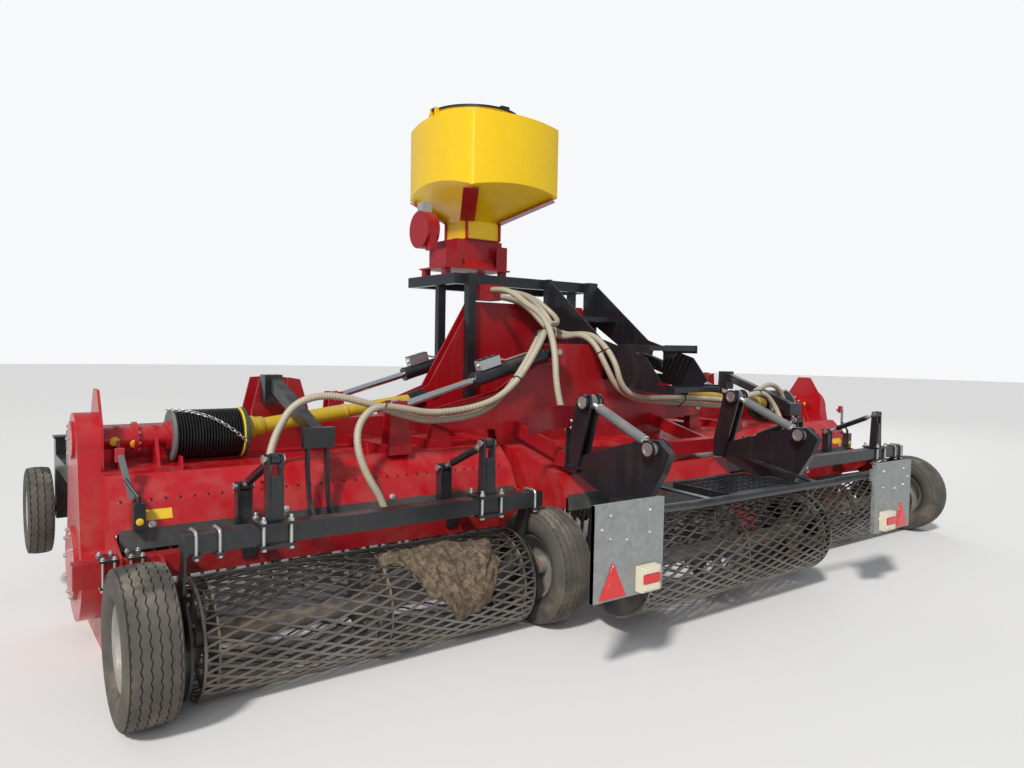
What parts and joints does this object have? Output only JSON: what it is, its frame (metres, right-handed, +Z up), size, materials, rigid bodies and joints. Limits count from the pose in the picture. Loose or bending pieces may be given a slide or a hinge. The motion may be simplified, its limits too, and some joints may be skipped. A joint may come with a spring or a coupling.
{
  "type": "folding stone burier",
  "caption": "Folding three-bed stone burier with hooded rotors, mesh rollers, tyred wheels, fold cylinders, stepped platform and a seed hopper.",
  "frame": {"origin": "ground level under the middle of the machine's box", "axes": "+Y forward to the tractor, +X to the right as seen from behind, +Z up"},
  "size_m": [6.35, 3.155, 3.235],
  "materials": {
    "red_paint": "gloss",
    "black_paint": "satin",
    "galvanised": "satin",
    "bare_steel": "worn",
    "chrome_rod": "polished",
    "tyre": "matt",
    "rubber": "matt",
    "yellow_plastic": "gloss",
    "yellow_guard": "satin",
    "dark_plastic": "satin",
    "hose": "satin",
    "lamp_red": "gloss"
  },
  "bodies": {
    "chassis": {"centre_frame": "red_paint", "tower_plates": "red_paint", "hitch_frame": "red_paint", "centre_hose": "hose", "wing_hoses_left": "hose", "wing_hoses_right": "hose", "frame_pins": "bare_steel", "centre_gearbox": "red_paint", "centre_hood": "red_paint", "centre_flap": "rubber", "centre_comb": "bare_steel", "roller_carrier": "black_paint", "carrier_struts": "galvanised", "walkway": "black_paint", "marker_plates": "galvanised", "rear_lights": "lamp_red", "platform": "black_paint", "stairs": "black_paint", "seeder_base": "red_paint", "seeder_tank": "yellow_plastic"},
    "lid": {"seeder_lid": "dark_plastic"},
    "centre_rotor_body": {"centre_rotor": "bare_steel"},
    "centre_drum_body": {"centre_drum": "bare_steel"},
    "wing_left": {"wing_frame_left": "red_paint", "wing_hood_left": "red_paint", "wing_flap_left": "rubber", "wing_comb_left": "bare_steel", "side_drive_left": "red_paint", "drive_bellows_left": "rubber", "roller_beam_left": "black_paint", "beam_struts_left": "galvanised", "furrow_tines_left": "black_paint", "gauge_arm_left": "black_paint"},
    "pto_left": {"pto_guard_left": "yellow_guard"},
    "barrels_left": {"fold_barrels_left": "black_paint"},
    "rods_left": {"fold_rods_left": "chrome_rod"},
    "rotor_left": {"wing_rotor_left": "bare_steel"},
    "drum_left": {"wing_drum_left": "bare_steel"},
    "outer_wheel_left": {"outer_road_wheel_left": "tyre"},
    "inner_wheel_left": {"inner_road_wheel_left": "tyre"},
    "gauge_left": {"gauge_wheel_left": "tyre"},
    "wing_right": {"wing_frame_right": "red_paint", "wing_hood_right": "red_paint", "wing_flap_right": "rubber", "wing_comb_right": "bare_steel", "side_drive_right": "red_paint", "drive_bellows_right": "rubber", "roller_beam_right": "black_paint", "beam_struts_right": "galvanised", "furrow_tines_right": "black_paint", "gauge_arm_right": "black_paint"},
    "pto_right": {"pto_guard_right": "yellow_guard"},
    "barrels_right": {"fold_barrels_right": "black_paint"},
    "rods_right": {"fold_rods_right": "chrome_rod"},
    "rotor_right": {"wing_rotor_right": "bare_steel"},
    "drum_right": {"wing_drum_right": "bare_steel"},
    "outer_wheel_right": {"outer_road_wheel_right": "tyre"},
    "inner_wheel_right": {"inner_road_wheel_right": "tyre"},
    "gauge_right": {"gauge_wheel_right": "tyre"}
  },
  "joints": [
    {"name": "centre_rotor_spin", "type": "hinge", "parent": "chassis", "child": "centre_rotor_body", "pos_m": [0, 0.2525, 0.4], "axis": [1, 0, 0], "continuous": true},
    {"name": "centre_drum_spin", "type": "hinge", "parent": "chassis", "child": "centre_drum_body", "pos_m": [0, -1.0925, 0.345], "axis": [1, 0, 0], "continuous": true},
    {"name": "lid_hinge", "type": "hinge", "parent": "chassis", "child": "lid", "pos_m": [-0.602, 1.1125, 3.208], "axis": [0, -1, 0], "range_deg": [0, 110]},
    {"name": "fold_left", "type": "hinge", "parent": "chassis", "child": "wing_left", "pos_m": [-1.15, 0.2525, 1.03], "axis": [0, 1, 0], "range_deg": [0, 90], "deforming": ["wing_hoses_left"]},
    {"name": "pto_swing_left", "type": "hinge", "parent": "chassis", "child": "pto_left", "pos_m": [-1.06, 0.2525, 1.15], "axis": [0, 1, 0], "range_deg": [0, 90.1]},
    {"name": "barrel_swing_left", "type": "hinge", "parent": "chassis", "child": "barrels_left", "pos_m": [-0.35, 0.2525, 1.436], "axis": [0, 1, 0], "range_deg": [0, 10.82]},
    {"name": "rod_slide_left", "type": "slide", "parent": "barrels_left", "child": "rods_left", "axis": [0.9615, 0, 0.2749], "range_m": [0, 0.4637]},
    {"name": "rotor_spin_left", "type": "hinge", "parent": "wing_left", "child": "rotor_left", "pos_m": [-1.8, 0.2525, 0.4], "axis": [1, 0, 0], "continuous": true},
    {"name": "drum_spin_left", "type": "hinge", "parent": "wing_left", "child": "drum_left", "pos_m": [-1.9, -0.6275, 0.25], "axis": [1, 0, 0], "continuous": true},
    {"name": "outer_wheel_spin_left", "type": "hinge", "parent": "wing_left", "child": "outer_wheel_left", "pos_m": [-2.93, -0.7275, 0.305], "axis": [1, 0, 0], "continuous": true},
    {"name": "inner_wheel_spin_left", "type": "hinge", "parent": "wing_left", "child": "inner_wheel_left", "pos_m": [-0.966, -0.7275, 0.305], "axis": [1, 0, 0], "continuous": true},
    {"name": "gauge_spin_left", "type": "hinge", "parent": "wing_left", "child": "gauge_left", "pos_m": [-3.11, 1.2725, 0.47], "axis": [1, 0, 0], "continuous": true},
    {"name": "fold_right", "type": "hinge", "parent": "chassis", "child": "wing_right", "pos_m": [1.15, 0.2525, 1.03], "axis": [0, -1, 0], "range_deg": [0, 90], "deforming": ["wing_hoses_right"]},
    {"name": "pto_swing_right", "type": "hinge", "parent": "chassis", "child": "pto_right", "pos_m": [1.06, 0.2525, 1.15], "axis": [0, -1, 0], "range_deg": [0, 90.1]},
    {"name": "barrel_swing_right", "type": "hinge", "parent": "chassis", "child": "barrels_right", "pos_m": [0.35, 0.2525, 1.436], "axis": [0, -1, 0], "range_deg": [0, 10.82]},
    {"name": "rod_slide_right", "type": "slide", "parent": "barrels_right", "child": "rods_right", "axis": [-0.9615, 0, 0.2749], "range_m": [0, 0.4637]},
    {"name": "rotor_spin_right", "type": "hinge", "parent": "wing_right", "child": "rotor_right", "pos_m": [1.8, 0.2525, 0.4], "axis": [1, 0, 0], "continuous": true},
    {"name": "drum_spin_right", "type": "hinge", "parent": "wing_right", "child": "drum_right", "pos_m": [1.9, -0.6275, 0.25], "axis": [1, 0, 0], "continuous": true},
    {"name": "outer_wheel_spin_right", "type": "hinge", "parent": "wing_right", "child": "outer_wheel_right", "pos_m": [2.93, -0.7275, 0.305], "axis": [1, 0, 0], "continuous": true},
    {"name": "inner_wheel_spin_right", "type": "hinge", "parent": "wing_right", "child": "inner_wheel_right", "pos_m": [0.966, -0.7275, 0.305], "axis": [1, 0, 0], "continuous": true},
    {"name": "gauge_spin_right", "type": "hinge", "parent": "wing_right", "child": "gauge_right", "pos_m": [3.11, 1.2725, 0.47], "axis": [1, 0, 0], "continuous": true}
  ],
  "couplings": [
    {"joint": "pto_swing_left", "follows": "fold_left", "ratio": 1},
    {"joint": "barrel_swing_left", "follows": "fold_left", "ratio": 0.11912},
    {"joint": "rod_slide_left", "follows": "fold_left", "m_per_rad": 0.29455},
    {"joint": "pto_swing_right", "follows": "fold_right", "ratio": 1},
    {"joint": "barrel_swing_right", "follows": "fold_right", "ratio": 0.11912},
    {"joint": "rod_slide_right", "follows": "fold_right", "m_per_rad": 0.29455}
  ]
}
